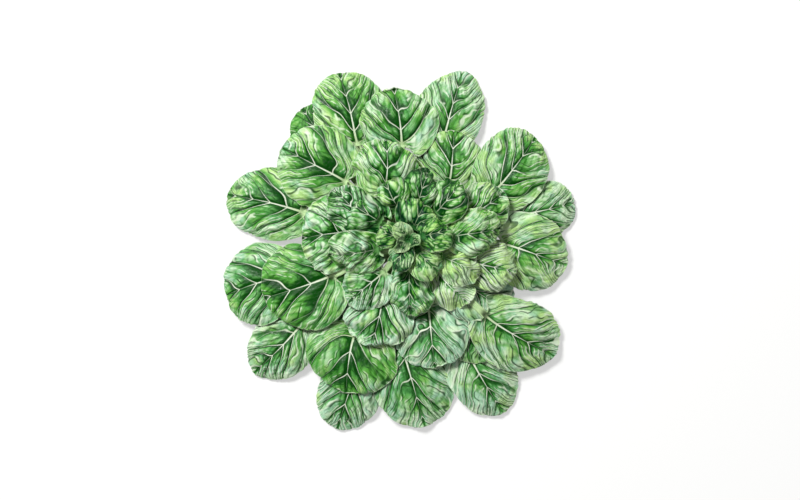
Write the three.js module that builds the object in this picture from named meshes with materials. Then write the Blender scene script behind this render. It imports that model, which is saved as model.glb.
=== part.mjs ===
// Tatsoi (Brassica rapa subsp. narinosa), cut whole at the base: a flat rosette of spoon-shaped
// leaves round a short stem. It lies on its cut face and on its lowest leaves, heart upwards.
// Millimetres, +Z up. The origin is the centre of the cut face; azimuths count from +X towards +Y.
import * as THREE from "three";
import { ParametricGeometry } from "three/addons/geometries/ParametricGeometry.js";

// ---- Driving dimensions ----

const STEM_FOOT_RADIUS = 15; // the cut face
const STEM_TOP_RADIUS = 3.5;
const STEM_SHOULDER = 12; // it narrows from here up
const STEM_HEIGHT = 38; // up to the growing tip
const CUT_EDGE = 1.5; // the knife leaves a worn edge of this size round the cut face
const STEM_GAP = 1.2; // between the stem and the leaves' cut bases
const STALK_ARCH = 1.5; // how far a stalk bows up
const STALK_TAPER = 0.75; // a stalk's thickness where it meets the blade, as a share of that at its foot
const BLADE_THICKNESS = 1.5;
const BLADE_START = 0.035; // share of a blade's length over which the stalk spreads flat
const CUP_START = 0.4; // share of a blade's length over which the margins begin to turn
const RIB_TAPER = 1.5; // how fast the rib under the blade thins out towards the tip
const RIB_WIDTH = 1 / 3; // of the blade's half width
const CLEARANCE = 0.7; // air left between a leaf and whatever it lies on
const GROUND_GAP = 0.1; // the lowest leaves all but touch the surface

const COLUMNS = 6; // strips across a leaf, margin to margin
const STEM_SIDES = 24;
const MAP_CELL = 1; // cell of the height map that records what lies under a leaf
const MAP_SIDE = 360;
const PROBES = 4; // places tested under each strip of each ring, each way
const EASING = 0.985; // how much of a rise carries over to the next ring or strip
const SWEEPS = 120; // passes that spread the rise over the leaf
const SETTLINGS = 3; // a leaf that has risen springs higher up the stem, and settles again from there

// Leaves of one whorl are built alike: where the stalk springs, how thick it is, the heights of the
// blade's base, middle and tip before the leaf settles, how far each margin turns (down if negative),
// how far the blade's lobes reach back past its base, and the rings of its skin.
const WHORLS = {
  outer: {
    stalk: { height: 3.2, width: 7, thickness: 4.4, neck: 5.5 },
    heights: [9, 10.5, 2.5],
    cup: -22,
    lobe: 7,
    rings: { stalk: 3, blade: 8 },
  },
  middle: {
    stalk: { height: 15, width: 5.6, thickness: 3.6, neck: 4.4 },
    heights: [23, 28, 24],
    cup: -20,
    lobe: 5,
    rings: { stalk: 2, blade: 7 },
  },
  inner: {
    stalk: { height: 23, width: 4.2, thickness: 2.8, neck: 3.2 },
    heights: [30, 37, 35],
    cup: -26,
    lobe: 3.5,
    rings: { stalk: 2, blade: 6 },
  },
  heart: {
    stalk: { height: 30, width: 3, thickness: 2.2, neck: 2.4 },
    heights: [37, 44, 43],
    cup: -20,
    lobe: 2.5,
    rings: { stalk: 1, blade: 6 },
  },
  bud: {
    stalk: { height: 35, width: 2.2, thickness: 1.8, neck: 1.8 },
    heights: [41, 46, 50],
    cup: 50,
    lobe: 1,
    rings: { stalk: 1, blade: 5 },
  },
};

// name, whorl, azimuth and reach of the blade, its length and width seen from above, and how far it
// is turned from pointing straight out. They are listed as they lie, from the lowest to the topmost.
const LEAVES = [
  ["outer_leaf_01", "outer", -153, 134, 50, 46, 14],
  ["outer_leaf_02", "outer", 131, 134, 58, 54, -2],
  ["outer_leaf_03", "outer", 12, 136, 54, 48, -1],
  ["outer_leaf_04", "outer", -111, 159, 56, 54, 0],
  ["outer_leaf_05", "outer", -139, 160, 56, 53, 8],
  ["outer_leaf_06", "outer", 72, 138, 60, 55, 4],
  ["outer_leaf_07", "outer", -164, 151, 54, 66, -4],
  ["outer_leaf_08", "outer", 165, 146, 63, 60, -2],
  ["outer_leaf_09", "outer", -88, 149, 72, 68, 12],
  ["outer_leaf_10", "outer", -62, 156, 58, 54, 1],
  ["outer_leaf_11", "outer", 114, 142, 60, 62, -12],
  ["outer_leaf_12", "outer", -59, 112, 56, 48, 0],
  ["outer_leaf_13", "outer", -76, 104, 51, 64, -6],
  ["outer_leaf_14", "outer", -38, 97, 54, 54, 0],
  ["outer_leaf_15", "outer", 61, 93, 42, 59, 18],
  ["outer_leaf_16", "outer", -42, 147, 63, 61, 7],
  ["outer_leaf_17", "outer", -6, 127, 55, 64, -9],
  ["outer_leaf_18", "outer", 34, 131, 58, 62, 13],
  ["outer_leaf_19", "outer", 142, 122, 58, 67, 10],
  ["outer_leaf_20", "outer", 94, 118, 46, 65, 0],
  ["outer_leaf_21", "outer", -116, 131, 48, 76, 11],
  ["outer_leaf_22", "outer", -141, 96, 48, 46, 0],
  ["outer_leaf_23", "outer", -155, 122, 58, 74, -2],
  ["middle_leaf_01", "middle", -18, 88, 38, 42, 6],
  ["middle_leaf_02", "middle", 23, 84, 38, 45, 9],
  ["middle_leaf_03", "middle", -109, 84, 38, 56, 9],
  ["middle_leaf_04", "middle", 177, 83, 38, 63, 8],
  ["middle_leaf_05", "middle", 105, 79, 38, 55, -20],
  ["middle_leaf_06", "middle", 150, 69, 36, 38, -24],
  ["middle_leaf_07", "middle", -131, 66, 36, 38, -8],
  ["middle_leaf_08", "middle", -49, 68, 36, 40, -2],
  ["inner_leaf_01", "inner", -25, 57, 30, 30, 4],
  ["inner_leaf_02", "inner", 5, 65, 35, 36, 1],
  ["inner_leaf_03", "inner", 45, 56, 30, 33, 2],
  ["inner_leaf_04", "inner", 75, 54, 29, 28, 0],
  ["inner_leaf_05", "inner", 111, 47, 26, 32, 3],
  ["inner_leaf_06", "inner", 149, 49, 27, 31, 0],
  ["inner_leaf_07", "inner", -164, 55, 33, 32, -4],
  ["inner_leaf_08", "inner", -88, 56, 34, 35, -1],
  ["heart_leaf_01", "heart", 168, 27, 19, 24, 0],
  ["heart_leaf_02", "heart", -50, 28, 19, 24, 0],
  ["heart_leaf_03", "heart", 68, 26, 18, 26, 0],
  ["heart_leaf_04", "heart", -112, 27, 19, 22, 0],
  ["heart_leaf_05", "heart", 12, 27, 18, 22, 0],
  ["bud_leaf_01", "bud", 130, 14, 10, 12, 0],
  ["bud_leaf_02", "bud", -18, 13, 9, 11, 0],
  ["bud_leaf_03", "bud", -140, 13, 9, 11, 0],
];

const { lerp, clamp, smoothstep, degToRad } = THREE.MathUtils;

const bearing = (azimuth) => new THREE.Vector3(Math.cos(degToRad(azimuth)), Math.sin(degToRad(azimuth)), 0);

const stemRadius = (z) =>
  lerp(STEM_FOOT_RADIUS, STEM_TOP_RADIUS, clamp((z - STEM_SHOULDER) / (STEM_HEIGHT - STEM_SHOULDER), 0, 1));

// ---- What lies below: the highest leaf surface over each cell of the ground plan ----

class HeightMap {
  constructor() {
    this.n = Math.ceil(MAP_SIDE / MAP_CELL);
    this.z = new Float32Array(this.n * this.n).fill(0);
  }

  index(x) {
    return Math.floor((x + MAP_SIDE / 2) / MAP_CELL);
  }

  // The highest thing in the cell at x, y and the eight round it.
  highest(x, y) {
    let top = 0;
    for (let i = this.index(x) - 1; i <= this.index(x) + 1; i++)
      for (let j = this.index(y) - 1; j <= this.index(y) + 1; j++)
        top = Math.max(top, this.z[i * this.n + j]);
    return top;
  }

  // Raises the map to a solid's triangles.
  cover(geometry) {
    const position = geometry.getAttribute("position");
    const index = geometry.index.array;
    const triangle = new THREE.Triangle();
    const corner = new THREE.Vector3();
    const weights = new THREE.Vector3();
    for (let k = 0; k < index.length; k += 3) {
      triangle.setFromAttributeAndIndices(position, index[k], index[k + 1], index[k + 2]);
      const corners = [triangle.a, triangle.b, triangle.c];
      const [x0, x1] = [Math.min(...corners.map((p) => p.x)), Math.max(...corners.map((p) => p.x))];
      const [y0, y1] = [Math.min(...corners.map((p) => p.y)), Math.max(...corners.map((p) => p.y))];
      const flat = new THREE.Triangle(...corners.map((p) => new THREE.Vector3(p.x, p.y, 0)));
      for (let i = this.index(x0); i <= this.index(x1); i++)
        for (let j = this.index(y0); j <= this.index(y1); j++) {
          corner.set((i + 0.5) * MAP_CELL - MAP_SIDE / 2, (j + 0.5) * MAP_CELL - MAP_SIDE / 2, 0);
          if (!flat.getBarycoord(corner, weights)) continue;
          if (Math.min(weights.x, weights.y, weights.z) < 0) continue;
          const z = weights.x * triangle.a.z + weights.y * triangle.b.z + weights.z * triangle.c.z;
          this.z[i * this.n + j] = Math.max(this.z[i * this.n + j], z);
        }
      for (const p of corners) {
        const cell = this.index(p.x) * this.n + this.index(p.y);
        this.z[cell] = Math.max(this.z[cell], p.z);
      }
    }
  }
}

// ---- One leaf ----

class Leaf {
  constructor([name, whorl, azimuth, reach, length, width, turn]) {
    Object.assign(this, { name, azimuth, length, width, turn }, WHORLS[whorl]);
    this.ringCount = 1 + this.rings.stalk + this.rings.blade;
    this.lift = this.level();
    const heading = bearing(azimuth + turn);
    this.middle = bearing(azimuth).multiplyScalar(reach - length / 2);
    this.base = this.middle.clone().addScaledVector(heading, -length / 2);
    this.tip = this.middle.clone().addScaledVector(heading, length / 2);
    [this.base.z, this.middle.z, this.tip.z] = this.heights;
  }

  // One lift for each column of each ring, all zero.
  level() {
    return Array.from({ length: this.ringCount + 1 }, () => new Array(COLUMNS + 1).fill(0));
  }

  // Roots the stalk at the stem's side, at the height that it has settled to.
  root() {
    const settled = this.stalk.height + this.lift[1][0];
    const spring = this.base.clone().setZ(0).setLength(stemRadius(settled) + STEM_GAP);
    spring.z = this.stalk.height;
    const halfway = spring.clone().lerp(this.base, 0.5);
    halfway.z += STALK_ARCH;
    this.midrib = new THREE.CatmullRomCurve3([spring, halfway, this.base, this.middle, this.tip]);
  }

  // What the cross-section is like at `along`, counted in rings: 0 is the middle of the cut base, 1 its
  // rim, then the stalk, then the blade, which ends in a point at ringCount.
  section(along) {
    const { stalk, rings, width, cup, lobe } = this;
    const down = clamp((along - 1) / rings.stalk, 0, 1);
    const turn = (Math.PI * clamp(along - 1 - rings.stalk, 0, rings.blade)) / rings.blade;
    const share = (1 - Math.cos(turn)) / 2; // of the blade's length
    const neck = lerp(stalk.width, stalk.neck, Math.sqrt(down)) / 2;
    const depth = stalk.thickness * lerp(1, STALK_TAPER, down);
    const cap = clamp(along, 0, 1);
    const blade = smoothstep(share, 0, BLADE_START);
    return {
      cap,
      blade,
      share,
      t: (down + share) / 2,
      facing: this.azimuth + this.turn * down,
      halfWidth: cap * Math.hypot(neck * (1 - share), (width / 2) * Math.sin(turn)),
      thickness: cap * lerp(depth, BLADE_THICKNESS, blade),
      rib: blade * Math.max(depth - BLADE_THICKNESS, 0) * (1 - share) ** RIB_TAPER,
      cup: degToRad(cup) * smoothstep(share, 0, CUP_START),
      sweep: lobe * blade * (1 - share) ** 2,
    };
  }

  liftAt(along, v) {
    const row = clamp(Math.floor(along), 0, this.ringCount - 1);
    const column = clamp(Math.floor(((v + 1) * COLUMNS) / 2), 0, COLUMNS - 1);
    const [f, g] = [along - row, ((v + 1) * COLUMNS) / 2 - column];
    const [near, far] = [this.lift[row], this.lift[row + 1]];
    return lerp(lerp(near[column], near[column + 1], g), lerp(far[column], far[column + 1], g), f);
  }

  // A point of the skin: v is -1 at the right margin and 1 at the left, side is 1 on top, -1 underneath
  // and 0 on the margin itself.
  point(along, v, side) {
    const s = this.section(along);
    const origin = this.midrib.getPoint(s.t);
    const tangent = this.midrib.getTangent(s.t);
    const across = bearing(s.facing + 90);
    const normal = tangent.clone().cross(across).normalize();
    const round = v * (Math.PI / 2);
    const flatV = lerp(Math.sin(round), v, s.blade);
    const flatSide = lerp(Math.cos(round), Math.abs(side), s.blade) * Math.sign(side);
    const bend = s.cup || 1e-3;
    const radius = s.halfWidth / bend;
    const ribbed = side < 0 ? s.rib * (1 - clamp(Math.abs(v) / RIB_WIDTH, 0, 1)) : 0;
    return origin
      .addScaledVector(across, radius * Math.sin(bend * flatV))
      .addScaledVector(normal, radius * (1 - Math.cos(bend * flatV)) + (flatSide * s.thickness) / 2 - ribbed)
      .addScaledVector(tangent, -s.sweep * v * v)
      .add(new THREE.Vector3(0, 0, this.liftAt(along, v)));
  }

  // Raises the leaf where it would sink into what lies under it, and eases the rise over the rest of it,
  // as a leaf drapes over its neighbours.
  settle(map) {
    this.lift = this.level();
    const needed = this.level();
    for (let i = 0; i < this.ringCount * PROBES; i++)
      for (let j = 0; j <= COLUMNS * PROBES; j++) {
        const [along, strip] = [i / PROBES, j / PROBES];
        const p = this.point(along, (2 * strip) / COLUMNS - 1, -1);
        const below = map.highest(p.x, p.y);
        const short = (below > 0 ? below + CLEARANCE : GROUND_GAP) - p.z;
        for (const row of [Math.floor(along), Math.ceil(along)])
          for (const column of [Math.floor(strip), Math.ceil(strip)])
            needed[row][column] = Math.max(needed[row][column], short);
      }
    const last = this.ringCount;
    for (let sweep = 0; sweep < SWEEPS; sweep++)
      this.lift = this.lift.map((row, i) =>
        row.map((_, j) => {
          const at = (k, l) => this.lift[clamp(k, 0, last)][clamp(l, 0, COLUMNS)];
          const eased = (at(i - 1, j) + at(i + 1, j) + at(i, j - 1) + at(i, j + 1)) / 4;
          return Math.max(needed[i][j], eased * EASING);
        }),
      );
    // A stalk is too stiff to bend across its width, and the tip and the cut base are single points.
    this.lift = this.lift.map((row, i) =>
      i <= this.rings.stalk + 1 || i === last ? row.fill(Math.max(...row)) : row,
    );
    this.lift[0] = this.lift[1];
  }

  geometry() {
    // Round each ring: across the top from the left margin to the right, and back underneath.
    const skin = (around, along, target) => {
      const top = around <= 0.5;
      const v = top ? 1 - 4 * around : 4 * around - 3;
      const edge = Math.abs(v) > 1 - 1e-6;
      target.copy(this.point(along * this.ringCount, v, edge ? 0 : top ? 1 : -1));
    };
    return new ParametricGeometry(skin, 2 * COLUMNS, this.ringCount);
  }
}

// ---- The plant ----

const tatsoi = new THREE.Group();
const leafGreen = new THREE.MeshStandardMaterial({ color: "#4f8f3e", roughness: 0.45, metalness: 0 });
const stemGreen = new THREE.MeshStandardMaterial({ color: "#d3ddb4", roughness: 0.5, metalness: 0 });

function addPart(name, geometry, material) {
  const mesh = new THREE.Mesh(geometry, material);
  mesh.name = name;
  tatsoi.add(mesh);
}

// Each leaf settles on those before it.
const map = new HeightMap();
for (const row of LEAVES) {
  const leaf = new Leaf(row);
  for (let pass = 0; pass < SETTLINGS; pass++) {
    leaf.root();
    leaf.settle(map);
  }
  const geometry = leaf.geometry();
  map.cover(geometry);
  addPart(leaf.name, geometry, leafGreen);
}

const stemProfile = [
  new THREE.Vector2(0, 0),
  new THREE.Vector2(STEM_FOOT_RADIUS - CUT_EDGE, 0),
  new THREE.Vector2(STEM_FOOT_RADIUS, CUT_EDGE),
  new THREE.Vector2(STEM_FOOT_RADIUS, STEM_SHOULDER),
  new THREE.Vector2(STEM_TOP_RADIUS, STEM_HEIGHT),
  new THREE.Vector2(0, STEM_HEIGHT),
];
addPart("stem", new THREE.LatheGeometry(stemProfile, STEM_SIDES).rotateX(Math.PI / 2), stemGreen);

export default tatsoi;
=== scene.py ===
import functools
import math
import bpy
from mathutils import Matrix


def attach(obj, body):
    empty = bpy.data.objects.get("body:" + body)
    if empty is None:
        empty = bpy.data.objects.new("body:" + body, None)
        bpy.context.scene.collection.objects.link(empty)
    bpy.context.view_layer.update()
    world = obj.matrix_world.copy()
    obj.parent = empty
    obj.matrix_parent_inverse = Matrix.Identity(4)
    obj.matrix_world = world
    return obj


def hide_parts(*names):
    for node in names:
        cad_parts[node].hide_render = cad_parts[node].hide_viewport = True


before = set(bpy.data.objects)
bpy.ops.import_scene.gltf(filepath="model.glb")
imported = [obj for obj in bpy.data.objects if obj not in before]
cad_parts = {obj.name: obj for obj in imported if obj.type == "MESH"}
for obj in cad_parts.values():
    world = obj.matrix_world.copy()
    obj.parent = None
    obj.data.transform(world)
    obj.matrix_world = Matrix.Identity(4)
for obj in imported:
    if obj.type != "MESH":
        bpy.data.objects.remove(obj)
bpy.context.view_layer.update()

# Tatsoi, cut whole at the base and laid on a table: 47 leaves in a flat rosette round a short stem.
# Lengths in this file are millimetres unless a name or a comment says otherwise; MM turns them to
# metres.
import types

import bmesh
import bpy
import numpy as np

MM = 0.001


# ---- Table, light and camera ----
# The head lies on a plain, pale table under a large soft box, with light walls all round, and is
# seen from straight above with its heart near the middle of the view.

TABLE_SIZE = 6000
TABLE_COLOUR = "#f4f4f2"
TABLE_ROUGHNESS = 0.9
TABLE_GLOW = 0.5  # share of plain paper white in the table that the camera sees
PAPER_WHITE = 1.02
SOFT_BOX_PLACE = (-950, 1150, 2100)
SOFT_BOX_SIZE = 700
SOFT_BOX_WATTS = 76.0
WALL_LIGHT = 0.3  # strength of the walls on the leaves
WALL_SHINE = 0.08  # and in reflections
WHITE = (1, 1, 1, 1)
CAMERA_PLACE = (-6.3, -8.6, 1752)
CAMERA_LENS = 100
CAMERA_REACH = 20000


def linear(shade):
    """An sRGB hex colour as linear red, green, blue and an alpha of 1: a part up to 0.04045 is
    divided by 12.92, and a larger one is raised to 2.4 after an offset of 0.055."""
    parts = np.array([int(shade[i : i + 2], 16) for i in (1, 3, 5)]) / 255
    curve = np.where(parts <= 0.04045, parts / 12.92, ((parts + 0.055) / 1.055) ** 2.4)
    return (*curve.tolist(), 1.0)


def put(tree, kind, *inputs, named=None, **settings):
    """Adds one node. `kind` is its type, or that and some properties, and `settings` are more of
    them. `inputs` fill the sockets that it then has in use, in order, and `named` fills sockets by
    name: a socket is linked, a node gives its first output in use, and the rest are values."""
    kind, usual = kind if isinstance(kind, tuple) else (kind, {})
    node = tree.nodes.new("ShaderNode" + kind)
    for name, value in (usual | settings).items():
        setattr(node, name, value)
    filled = list(zip((socket for socket in node.inputs if socket.enabled), inputs))
    filled += [(node.inputs[name], value) for name, value in (named or {}).items()]
    for socket, value in filled:
        if isinstance(value, bpy.types.Node):
            value = next(output for output in value.outputs if output.enabled)
        if isinstance(value, bpy.types.NodeSocket):
            tree.links.new(value, socket)
        else:
            socket.default_value = value
    return node


def new_material(name):
    """An empty material and its node tree."""
    material = bpy.data.materials.new(name)
    material.use_nodes = True
    material.node_tree.nodes.clear()
    return material, material.node_tree


def new_object(name, data):
    """An object of the scene that shows a mesh, a lamp or a camera."""
    thing = bpy.data.objects.new(name, data)
    bpy.context.scene.collection.objects.link(thing)
    return thing


# Matt painted board: no gloss, a trace of warmth. Seen directly it is plain white paper, and it
# keeps the shadow that the leaves cast on it.
board, tree = new_material("painted_board")
paint = {"Base Color": linear(TABLE_COLOUR), "Roughness": TABLE_ROUGHNESS}
surface = put(tree, "BsdfPrincipled", named=paint)
paper = put(tree, "Emission", WHITE, PAPER_WHITE)
by_camera = put(tree, "LightPath").outputs["Is Camera Ray"]
seen = put(tree, "MapRange", by_camera, named={"To Max": TABLE_GLOW})
put(tree, "OutputMaterial", put(tree, "MixShader", seen, surface, paper))

half = TABLE_SIZE / 2 * MM
corners = [(-half, -half, 0), (half, -half, 0), (half, half, 0), (-half, half, 0)]
table_mesh = bpy.data.meshes.new("table_top")
table_mesh.from_pydata(corners, [], [(0, 1, 2, 3)])
table_mesh.materials.append(board)
table = new_object("table_top", table_mesh)

lamp = bpy.data.lights.new("soft_box", "AREA")
lamp.shape = "DISK"
lamp.size = SOFT_BOX_SIZE * MM
lamp.energy = SOFT_BOX_WATTS
soft_box = new_object("soft_box", lamp)
soft_box.location = [length * MM for length in SOFT_BOX_PLACE]
soft_box.rotation_euler = soft_box.location.to_track_quat("Z", "Y").to_euler()

walls = bpy.data.worlds.new("light_walls")
walls.use_nodes = True
tree = walls.node_tree
tree.nodes.clear()
in_gloss = put(tree, "LightPath").outputs["Is Glossy Ray"]
strength = put(tree, "MapRange", in_gloss, named={"To Min": WALL_LIGHT, "To Max": WALL_SHINE})
put(tree, "OutputWorld", put(tree, "Background", WHITE, strength))
bpy.context.scene.world = walls
bpy.context.scene.view_settings.view_transform = "Standard"

camera = new_object("camera", bpy.data.cameras.new("camera"))
camera.data.lens = CAMERA_LENS
camera.data.clip_end = CAMERA_REACH * MM
camera.location = [length * MM for length in CAMERA_PLACE]
bpy.context.scene.camera = camera


# ---- Outer leaves ----
# The 23 full-grown leaves lie flat round the outside: a long pale stalk, channelled on top, and a
# round blade whose panels are puffed up between sunken veins. Stalk and blade are one growth.

RING = 12  # places round each cross-section of a CAD leaf
SAME_SPOT = 2e-6  # metres: corners of the CAD leaf this close are one


def cross_sections(node):
    """A CAD leaf's cross-sections from stalk to tip: its upper side and its underside, each
    [section, place across from left to right], then its foot and the middle of its tip.

    The foot is where 12 edges meet, and a section is all that lies as many edges from it. Across
    it, places come in pairs, one on top and one underneath, and singly on the two margins."""
    shell = bmesh.new()
    shell.from_mesh(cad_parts[node].data)
    bmesh.ops.remove_doubles(shell, verts=shell.verts, dist=SAME_SPOT)
    shell.verts.index_update()
    places = np.array([v.co for v in shell.verts]) / MM
    edges = np.array([[v.index for v in e.verts] for e in shell.edges])
    shell.free()
    foot = np.bincount(edges.ravel()).argmax()
    level = np.full(len(places), -1)
    level[foot] = 0
    while (level < 0).any():
        reached = edges[(level[edges] == level.max()).any(axis=1)].ravel()
        level[reached[level[reached] < 0]] = level.max() + 1
    if (np.bincount(level)[1:-1] != RING).any():
        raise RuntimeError(f"the sections of {node} can't be read")
    rings = np.array([places[level == k] for k in range(1, level.max())])
    tip = places[level == level.max()].mean(axis=0)

    # The two places of a ring that lie farthest apart are its margins, and the others are put in
    # order from the left one to the right one.
    gaps = np.linalg.norm(rings[:, :, None] - rings[:, None], axis=3).reshape(len(rings), -1)
    one, other = np.divmod(gaps.argmax(axis=1), RING)
    number = np.arange(len(rings))
    across = (rings[number, one] - rings[number, other]) * (1, 1, 0)
    forward = tip - places[foot]
    across *= np.sign(across @ (forward[1], -forward[0], 0))[:, None]
    across /= np.linalg.norm(across, axis=1)[:, None]
    order = np.einsum("rpk,rk->rp", rings, across).argsort(axis=1)
    rings = np.take_along_axis(rings, order[:, :, None], axis=1)
    pairs = rings[:, 1:-1].reshape(len(rings), -1, 2, 3)
    normal = np.cross(across, np.gradient(rings.mean(axis=1), axis=0))
    above = np.einsum("rpk,rk->rp", pairs[:, :, 0] - pairs[:, :, 1], normal) > 0
    upper = np.where(above[:, :, None], pairs[:, :, 0], pairs[:, :, 1])
    under = np.where(above[:, :, None], pairs[:, :, 1], pairs[:, :, 0])
    ends = rings[:, :1], rings[:, -1:]
    upper = np.concatenate([ends[0], upper, ends[1]], axis=1)
    under = np.concatenate([ends[0], under, ends[1]], axis=1)
    return upper, under, places[foot], tip


def follow(knots, at):
    """Catmull-Rom curve through knots, which run along the first axis: between two knots it is the
    cubic whose slope at each is half the step between that knot's neighbours. `at` counts from the
    second knot, because the first and the last only aim the ends."""
    k = np.clip(np.floor(at).astype(int), 0, len(knots) - 4)
    f = (at - k).reshape(-1, *[1] * (knots.ndim - 1))
    a, b, c, d = knots[k], knots[k + 1], knots[k + 2], knots[k + 3]
    return b + f / 2 * (c - a + f * (2 * a - 5 * b + 4 * c - d + f * (3 * (b - c) + d - a)))


def unit(vectors):
    """Vectors divided by their lengths."""
    return vectors / np.maximum(np.linalg.norm(vectors, axis=-1, keepdims=True), 1e-9)


def ease(x, low, high):
    """0 below low, 1 above high, and between them 3 t squared less 2 t cubed."""
    t = np.clip((x - low) / (high - low), 0, 1)
    return t * t * (3 - 2 * t)


def swell(x, y, wave, draw):
    """Smooth unevenness, mostly between -1 and 1: the sum of seven sine waves of about that length,
    in random directions, over 2.6."""
    total = 0
    lowest, highest = (0, 0, 0.7), (2 * math.pi, 2 * math.pi, 1.3)
    for heading, phase, pace in draw.uniform(lowest, highest, (7, 3)):
        way = x * math.cos(heading) + y * math.sin(heading)
        total = total + np.sin(2 * math.pi * pace / wave * way + phase)
    return total / 2.6


def blisters(x, y, size, draw):
    """0 on the borders of cells of about that size and 1 inside them, in a parabola. The cells are
    those nearest to each of a grid of points moved at random by up to 0.42 of a cell, and the gap
    between the two nearest, as a share of 0.7 of a cell, tells how far inside a place is."""
    across = np.arange(x.min() - size, x.max() + 2 * size, size)
    along = np.arange(y.min() - size, y.max() + 2 * size, size)
    cores = np.stack(np.meshgrid(across, along), axis=-1).reshape(-1, 2)
    cores = cores + draw.uniform(-0.42, 0.42, cores.shape) * size
    far = np.hypot(x.reshape(-1, 1) - cores[:, 0], y.reshape(-1, 1) - cores[:, 1])
    far.partition(1, axis=1)
    inside = np.clip((far[:, 1] - far[:, 0]) / size / 0.7, 0, 1).reshape(x.shape)
    return 1 - (1 - inside) ** 2


VEIN_STEP = 0.35  # between side veins up the midrib, in half widths of the blade
VEIN_DROOP, VEIN_STEEPER, VEIN_EASES = 0.1, 0.47, 0.03  # slope at count 0, and how it changes
VEIN_CURVE, CURVED_COUNTS = 0.74, 3.2  # how curved the low veins are, and over how many counts


def vein_path(k, x, fan):
    """Height at which side vein k passes x, both in half widths of the blade. The first `fan` veins
    set out from the stalk's end, the others from places evenly up the midrib, with a soft corner
    between. Each then climbs in a parabola, the more steeply the higher k, curved most at 0.5."""
    start = VEIN_STEP / 2 * np.log1p(np.exp(2 * (k - fan)))
    climb = VEIN_STEEPER * k - VEIN_EASES * k * np.abs(k) - VEIN_DROOP
    return start + climb * x + VEIN_CURVE * np.exp(-(((k - 0.5) / CURVED_COUNTS) ** 2)) * x * x


VEIN_COUNTS = (-3.5, 8.0)  # lowest and highest count that a blade can need
HALVINGS = 22
VEIN_WANDER = 0.035  # how far the side veins wander, in half widths of the blade
WIDEST_COUNT = 1.2  # the side vein that ends where the blade is widest; the others are shorter
SIDES_APART = 0.22  # how far the counts of the two halves are from each other, halved
FORK_AT = 0.45  # where a side vein starts to part in two, 0 at the midrib and 1 at the margin


def venation(x, y, width, habit, draw):
    """At each place: the side veins' count, which is whole on a vein; the count of their forks; the
    reach along the vein, 0 at the midrib and 1 at the margin; and the millimetres between veins.

    The count is found by halving, as the veins' paths rise steadily with it. The veins of the left
    half are set off from those of the right half, and their spacing varies in a sine wave."""
    fan, crowding = habit["fan"], habit["crowding"]
    apart = ease(np.abs(x), 0, 0.3 * width)
    side = np.sign(x) * apart
    wander = VEIN_WANDER * width * apart
    across = np.maximum(np.abs(x) + wander * swell(x, y, 0.9 * width, draw), 0) / width
    height = (y + wander * swell(x, y, 0.8 * width, draw)) / width
    low, high = (np.full(x.shape, count) for count in VEIN_COUNTS)
    for _ in range(HALVINGS):
        k = (low + high) / 2
        beyond = vein_path(k, across, fan) > height
        low, high = np.where(beyond, low, k), np.where(beyond, k, high)
    full_reach = np.clip(1 - 0.055 * np.abs(k - WIDEST_COUNT) ** 1.7, 0.15, 1)
    reach = np.clip(across / full_reach, 0, 1.2)
    rise = (vein_path(k + 0.05, across, fan) - vein_path(k - 0.05, across, fan)) / 0.1
    slope = (vein_path(k, across + 0.01, fan) - vein_path(k, across, fan)) / 0.01
    gap = rise / np.sqrt(1 + slope**2) * width / crowding
    count = k * crowding + SIDES_APART * side + draw.uniform(-0.3, 0.3)
    left, right = draw.uniform(0, 2 * math.pi, 2)
    count += 0.25 * apart * np.sin(2.3 * count + np.where(x > 0, right, left))
    return count, count - 0.5 * ease(reach, FORK_AT, 1.05), reach, gap


def pillow(count):
    """0 on each whole count and 1 between: the squared sine of half a turn for each count, raised
    to 0.36, which rounds the top and makes it steep down to the veins. A little is added before
    and taken off after, so that the valley's floor is round too."""
    soft, power = 0.08, 0.36
    count = count + 0.07 * np.sin(2 * math.pi * count)
    height = (np.sin(math.pi * count) ** 2 + soft) ** power - soft**power
    return height / ((1 + soft) ** power - soft**power)


def turned(vectors, axis, angle):
    """Vectors turned about a unit axis: v cos a + (axis x v) sin a + axis (axis . v)(1 - cos a)."""
    along = (vectors * axis).sum(axis=-1, keepdims=True)
    upright = axis * along * (1 - np.cos(angle))
    return vectors * np.cos(angle) + np.cross(axis, vectors) * np.sin(angle) + upright


def bend(places, angle):
    """Turns each row upwards about its own cross direction, and sets the rows end to end again so
    that the middle line keeps its length."""
    middle = places.shape[1] // 2
    spine, axis = places[:, middle], unit(places[:, middle + 1] - places[:, middle - 1])
    angle = angle[:, None]
    hinge = unit(axis[1:] + axis[:-1])
    steps = turned(np.diff(spine, axis=0), hinge, (angle[1:] + angle[:-1]) / 2)
    bent = np.concatenate([spine[:1], spine[0] + np.cumsum(steps, axis=0)])
    return bent[:, None] + turned(places - spine[:, None], axis[:, None], angle[:, None])


RIM = np.array([0.972, 0.991, 1.0])  # close rows along the margin, as shares of the way there


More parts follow.
